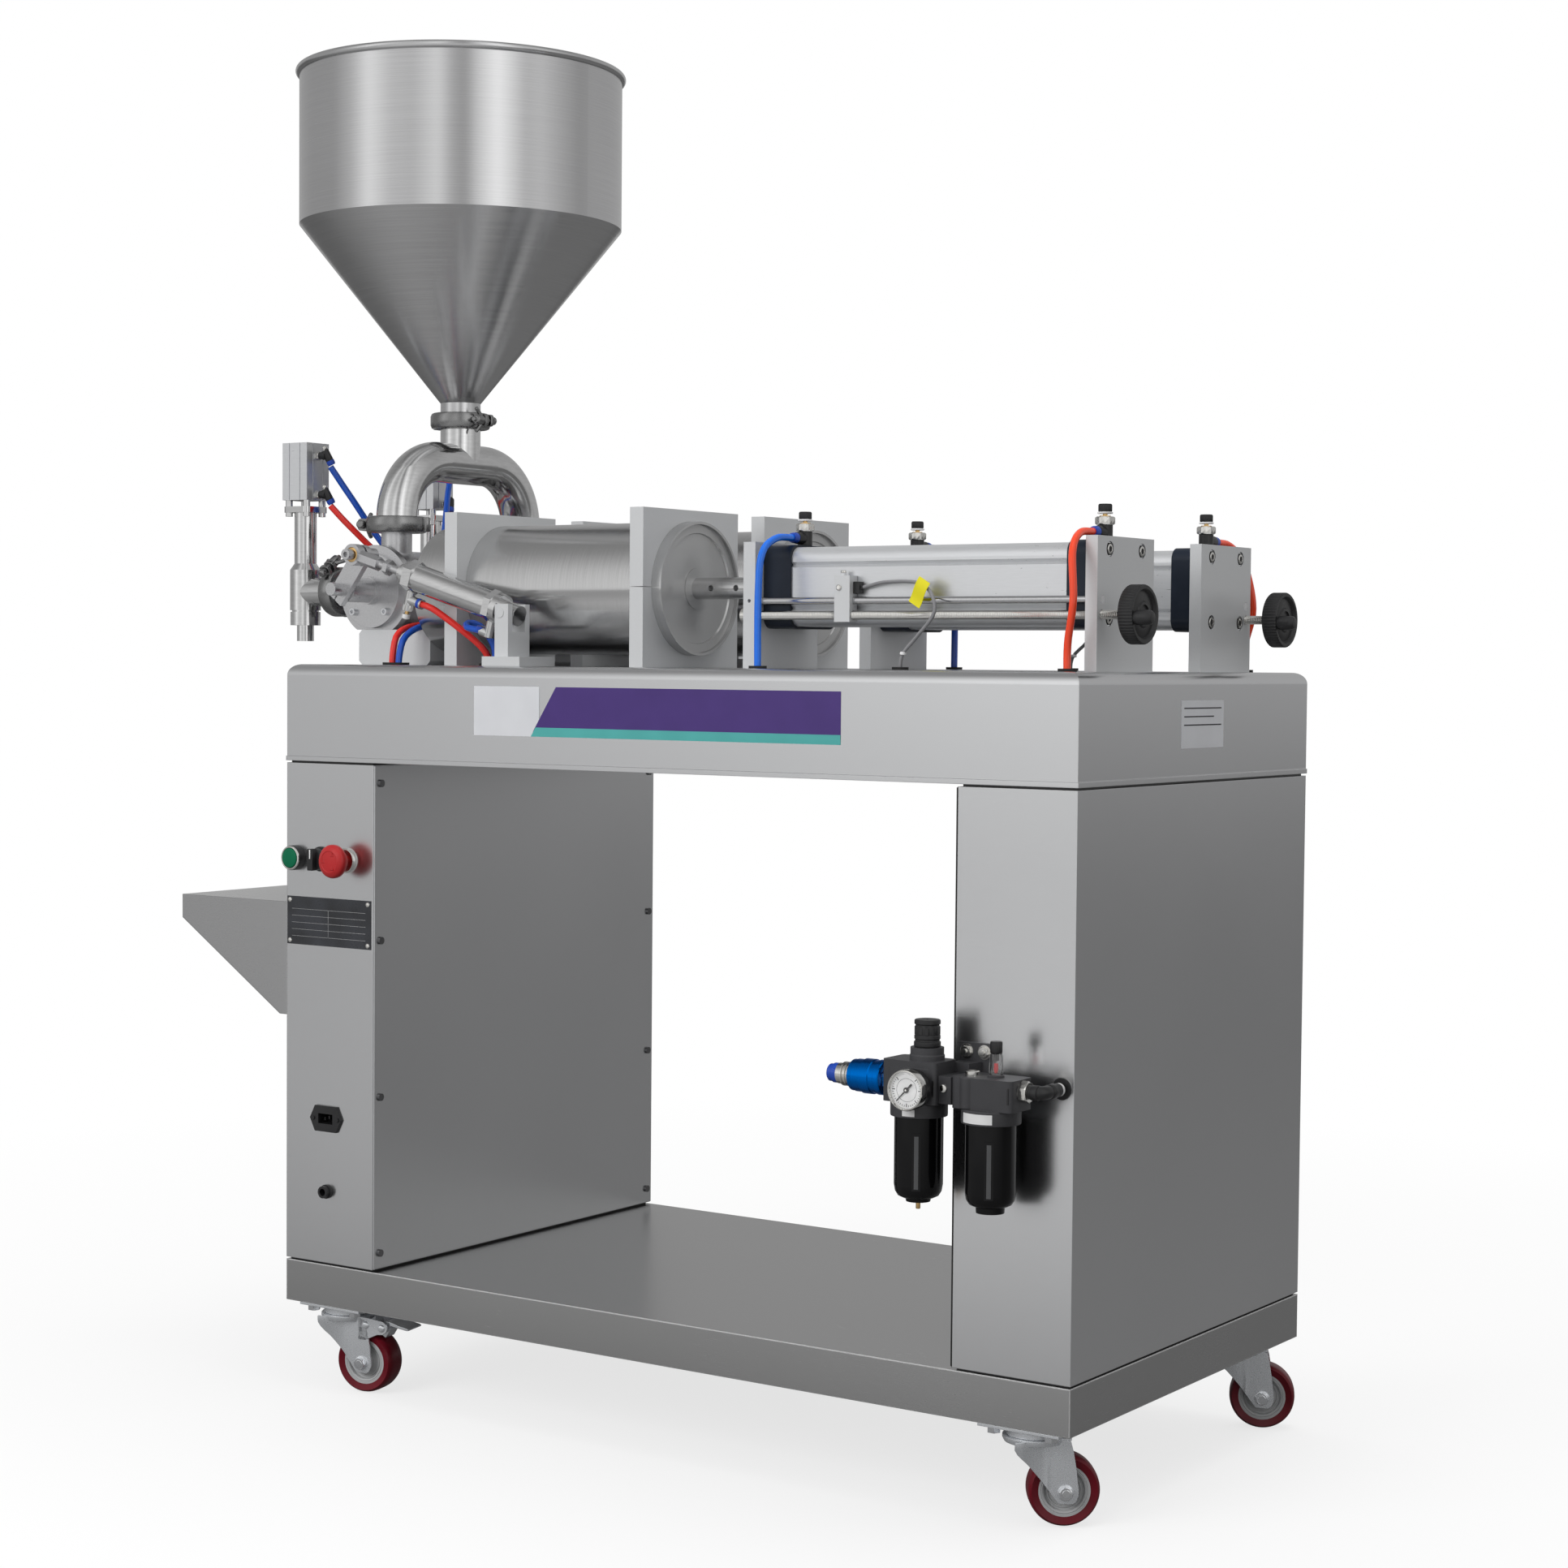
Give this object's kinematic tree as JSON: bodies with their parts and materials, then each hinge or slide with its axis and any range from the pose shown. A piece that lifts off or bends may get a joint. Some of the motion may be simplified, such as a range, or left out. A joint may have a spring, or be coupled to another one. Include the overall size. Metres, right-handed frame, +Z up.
{
  "type": "filling machine",
  "caption": "Pneumatic piston filling machine: hopper, twin rotary valves, product cylinders and nozzles above a wheeled stainless steel cabinet.",
  "frame": {"origin": "on the floor, below the middle of the cabinet", "axes": "+X along the cabinet from the nozzles to the hand wheels, +Y from the front to the back, +Z up"},
  "size_m": [1.304, 0.6453, 1.625],
  "materials": {
    "base_tray": "brushed stainless sheet",
    "left_column": "brushed stainless sheet",
    "right_column": "brushed stainless sheet",
    "hood": "brushed stainless sheet",
    "inner_covers": "brushed stainless sheet",
    "shelf": "brushed stainless sheet",
    "screws": "plated steel",
    "caster_plates": "zinc plated",
    "switch_bases": "satin chrome",
    "panel_sockets": "black",
    "control_gear": "light grey",
    "frl_body": "dark grey, satin",
    "frl_bowls": "black, glossy",
    "pressure_gauge": "black case",
    "hopper": "satin stainless",
    "manifold": "polished stainless",
    "pipe_clamps": "cast stainless",
    "valve_bodies": "machined stainless",
    "valve_mounts": "anodised",
    "product_cylinders": "turned stainless",
    "machine_plates": "anodised",
    "air_cylinder_barrels": "anodised",
    "air_cylinder_caps": "blue-black",
    "guide_rods": "ground",
    "nozzle_bodies": "polished stainless",
    "air_fittings": "black",
    "grommets": "black",
    "air_hoses": "blue",
    "valve_hoses": "red",
    "sensor_leads": "grey",
    "caster_fork_fl": "zinc plated",
    "caster_wheel_fl": "dark red tread on a grey hub",
    "caster_fork_fr": "zinc plated",
    "caster_wheel_fr": "dark red tread on a grey hub",
    "caster_fork_rl": "zinc plated",
    "caster_wheel_rl": "dark red tread on a grey hub",
    "caster_fork_rr": "zinc plated",
    "caster_wheel_rr": "dark red tread on a grey hub",
    "caster_brake_fl": "zinc plated",
    "start_button": "green",
    "selector_knob": "black",
    "estop_button": "red",
    "regulator_knob": "black",
    "lubricator_knob": "black",
    "shutoff_sleeve": "blue anodised",
    "gauge_needle": "black",
    "valve_arm_near": "machined",
    "valve_cylinder_near": "polished tube",
    "valve_rod_near": "ground",
    "nozzle_stem_near": "ground",
    "piston_near": "turned",
    "sensor_block_near": "anodised",
    "hand_wheel_near": "black",
    "valve_arm_far": "machined",
    "valve_cylinder_far": "polished tube",
    "valve_rod_far": "ground",
    "nozzle_stem_far": "ground",
    "piston_far": "turned",
    "sensor_block_far": "anodised",
    "hand_wheel_far": "black"
  },
  "bodies": {
    "cabinet": {"base_tray": "base_tray", "left_column": "left_column", "right_column": "right_column", "hood": "hood", "inner_covers": "inner_covers", "shelf": "shelf", "screws": "screws", "caster_plates": "caster_plates", "switch_bases": "switch_bases", "panel_sockets": "panel_sockets", "control_gear": "control_gear", "frl_body": "frl_body", "frl_bowls": "frl_bowls", "pressure_gauge": "pressure_gauge", "hopper": "hopper", "manifold": "manifold", "pipe_clamps": "pipe_clamps", "valve_bodies": "valve_bodies", "valve_mounts": "valve_mounts", "product_cylinders": "product_cylinders", "machine_plates": "machine_plates", "air_cylinder_barrels": "air_cylinder_barrels", "air_cylinder_caps": "air_cylinder_caps", "guide_rods": "guide_rods", "nozzle_bodies": "nozzle_bodies", "air_fittings": "air_fittings", "grommets": "grommets", "air_hoses": "air_hoses", "valve_hoses": "valve_hoses", "sensor_leads": "sensor_leads"},
    "fork_fl": {"caster_fork_fl": "caster_fork_fl"},
    "wheel_fl": {"caster_wheel_fl": "caster_wheel_fl"},
    "fork_fr": {"caster_fork_fr": "caster_fork_fr"},
    "wheel_fr": {"caster_wheel_fr": "caster_wheel_fr"},
    "fork_rl": {"caster_fork_rl": "caster_fork_rl"},
    "wheel_rl": {"caster_wheel_rl": "caster_wheel_rl"},
    "fork_rr": {"caster_fork_rr": "caster_fork_rr"},
    "wheel_rr": {"caster_wheel_rr": "caster_wheel_rr"},
    "brake_fl": {"caster_brake_fl": "caster_brake_fl"},
    "start_button": {"start_button": "start_button"},
    "selector_knob": {"selector_knob": "selector_knob"},
    "estop_button": {"estop_button": "estop_button"},
    "regulator_knob": {"regulator_knob": "regulator_knob"},
    "lubricator_knob": {"lubricator_knob": "lubricator_knob"},
    "shutoff_sleeve": {"shutoff_sleeve": "shutoff_sleeve"},
    "gauge_needle": {"gauge_needle": "gauge_needle"},
    "valve_arm_near": {"valve_arm_near": "valve_arm_near"},
    "valve_cylinder_near": {"valve_cylinder_near": "valve_cylinder_near"},
    "valve_rod_near": {"valve_rod_near": "valve_rod_near"},
    "nozzle_stem_near": {"nozzle_stem_near": "nozzle_stem_near"},
    "piston_near": {"piston_near": "piston_near"},
    "sensor_block_near": {"sensor_block_near": "sensor_block_near"},
    "hand_wheel_near": {"hand_wheel_near": "hand_wheel_near"},
    "valve_arm_far": {"valve_arm_far": "valve_arm_far"},
    "valve_cylinder_far": {"valve_cylinder_far": "valve_cylinder_far"},
    "valve_rod_far": {"valve_rod_far": "valve_rod_far"},
    "nozzle_stem_far": {"nozzle_stem_far": "nozzle_stem_far"},
    "piston_far": {"piston_far": "piston_far"},
    "sensor_block_far": {"sensor_block_far": "sensor_block_far"},
    "hand_wheel_far": {"hand_wheel_far": "hand_wheel_far"}
  },
  "joints": [
    {"name": "swivel_fl", "type": "hinge", "parent": "cabinet", "child": "fork_fl", "pos_m": [-0.47, -0.24, 0.09], "axis": [0, 0, 1], "continuous": true},
    {"name": "roll_fl", "type": "hinge", "parent": "fork_fl", "child": "wheel_fl", "pos_m": [-0.44055, -0.23428, 0.0375], "axis": [-0.1908, 0.9816, 0], "continuous": true},
    {"name": "swivel_fr", "type": "hinge", "parent": "cabinet", "child": "fork_fr", "pos_m": [0.48, -0.24, 0.09], "axis": [0, 0, 1], "continuous": true},
    {"name": "roll_fr", "type": "hinge", "parent": "fork_fr", "child": "wheel_fr", "pos_m": [0.50396, -0.22195, 0.0375], "axis": [-0.6018, 0.7986, 0], "continuous": true},
    {"name": "swivel_rl", "type": "hinge", "parent": "cabinet", "child": "fork_rl", "pos_m": [-0.47, 0.24, 0.09], "axis": [0, 0, 1], "continuous": true},
    {"name": "roll_rl", "type": "hinge", "parent": "fork_rl", "child": "wheel_rl", "pos_m": [-0.44147, 0.24927, 0.0375], "axis": [-0.309, 0.9511, 0], "continuous": true},
    {"name": "swivel_rr", "type": "hinge", "parent": "cabinet", "child": "fork_rr", "pos_m": [0.48, 0.24, 0.09], "axis": [0, 0, 1], "continuous": true},
    {"name": "roll_rr", "type": "hinge", "parent": "fork_rr", "child": "wheel_rr", "pos_m": [0.50719, 0.25268, 0.0375], "axis": [-0.4226, 0.9063, 0], "continuous": true},
    {"name": "brake_press", "type": "hinge", "parent": "fork_fl", "child": "brake_fl", "pos_m": [-0.41307, -0.22893, 0.082], "axis": [-0.1908, 0.9816, 0], "range_deg": [0, 5]},
    {"name": "start_press", "type": "slide", "parent": "cabinet", "child": "start_button", "axis": [0, 1, 0], "range_m": [0, 0.004], "stiffness_N_per_m": 500},
    {"name": "selector_turn", "type": "hinge", "parent": "cabinet", "child": "selector_knob", "pos_m": [-0.484, -0.285, 0.644], "axis": [0, 1, 0], "range_deg": [0, 90]},
    {"name": "estop_press", "type": "slide", "parent": "cabinet", "child": "estop_button", "axis": [0, 1, 0], "range_m": [0, 0.005], "stiffness_N_per_m": 600},
    {"name": "regulator_turn", "type": "hinge", "parent": "cabinet", "child": "regulator_knob", "pos_m": [0.392, -0.315, 0.5], "axis": [0, 0, 1], "range_deg": [-1080, 0]},
    {"name": "lubricator_turn", "type": "hinge", "parent": "cabinet", "child": "lubricator_knob", "pos_m": [0.473, -0.315, 0.5], "axis": [0, 0, 1], "range_deg": [0, 360]},
    {"name": "shutoff_slide", "type": "slide", "parent": "cabinet", "child": "shutoff_sleeve", "axis": [-1, 0, 0], "range_m": [0, 0.008]},
    {"name": "gauge_turn", "type": "hinge", "parent": "cabinet", "child": "gauge_needle", "pos_m": [0.395, -0.357, 0.455], "axis": [0, 1, 0], "range_deg": [0, 270], "stiffness_Nm_per_rad": 0.0001},
    {"name": "valve_turn_near", "type": "hinge", "parent": "cabinet", "child": "valve_arm_near", "pos_m": [-0.504, -0.12, 0.968], "axis": [0, 1, 0], "range_deg": [-90, 0]},
    {"name": "valve_cylinder_swing_near", "type": "hinge", "parent": "cabinet", "child": "valve_cylinder_near", "pos_m": [-0.2295, -0.2305, 0.9385], "axis": [0, 1, 0], "range_deg": [-5.22, 0], "deforming": ["valve_hoses"]},
    {"name": "valve_rod_stroke_near", "type": "slide", "parent": "valve_cylinder_near", "child": "valve_rod_near", "axis": [-0.9603, 0, 0.2791], "range_m": [0, 0.0691]},
    {"name": "piston_stroke_near", "type": "slide", "parent": "cabinet", "child": "piston_near", "axis": [1, 0, 0], "range_m": [-0.25, 0]},
    {"name": "nozzle_lift_near", "type": "slide", "parent": "cabinet", "child": "nozzle_stem_near", "axis": [0, 0, 1], "range_m": [0, 0.02]},
    {"name": "sensor_slide_near", "type": "slide", "parent": "cabinet", "child": "sensor_block_near", "axis": [1, 0, 0], "range_m": [-0.063, 0.238], "deforming": ["sensor_leads"]},
    {"name": "wheel_turn_near", "type": "hinge", "parent": "cabinet", "child": "hand_wheel_near", "pos_m": [0.5425, -0.172, 0.936], "axis": [1, 0, 0], "range_deg": [-57130, 15130]},
    {"name": "valve_turn_far", "type": "hinge", "parent": "cabinet", "child": "valve_arm_far", "pos_m": [-0.504, 0.12, 0.968], "axis": [0, 1, 0], "range_deg": [-90, 0]},
    {"name": "valve_cylinder_swing_far", "type": "hinge", "parent": "cabinet", "child": "valve_cylinder_far", "pos_m": [-0.2295, 0.2305, 0.9385], "axis": [0, 1, 0], "range_deg": [-5.22, 0]},
    {"name": "valve_rod_stroke_far", "type": "slide", "parent": "valve_cylinder_far", "child": "valve_rod_far", "axis": [-0.9603, 0, 0.2791], "range_m": [0, 0.0691]},
    {"name": "piston_stroke_far", "type": "slide", "parent": "cabinet", "child": "piston_far", "axis": [1, 0, 0], "range_m": [-0.25, 0]},
    {"name": "nozzle_lift_far", "type": "slide", "parent": "cabinet", "child": "nozzle_stem_far", "axis": [0, 0, 1], "range_m": [0, 0.02]},
    {"name": "sensor_slide_far", "type": "slide", "parent": "cabinet", "child": "sensor_block_far", "axis": [1, 0, 0], "range_m": [-0.063, 0.238]},
    {"name": "wheel_turn_far", "type": "hinge", "parent": "cabinet", "child": "hand_wheel_far", "pos_m": [0.5425, 0.172, 0.936], "axis": [1, 0, 0], "range_deg": [-57130, 15130]}
  ],
  "couplings": [
    {"joint": "valve_cylinder_swing_near", "follows": "valve_turn_near", "ratio": 0.05747},
    {"joint": "valve_rod_stroke_near", "follows": "valve_turn_near", "m_per_rad": -0.04386},
    {"joint": "wheel_turn_near", "follows": "sensor_slide_near", "rad_per_m": -4188.8},
    {"joint": "valve_cylinder_swing_far", "follows": "valve_turn_far", "ratio": 0.05747},
    {"joint": "valve_rod_stroke_far", "follows": "valve_turn_far", "m_per_rad": -0.04386},
    {"joint": "wheel_turn_far", "follows": "sensor_slide_far", "rad_per_m": -4188.8}
  ]
}
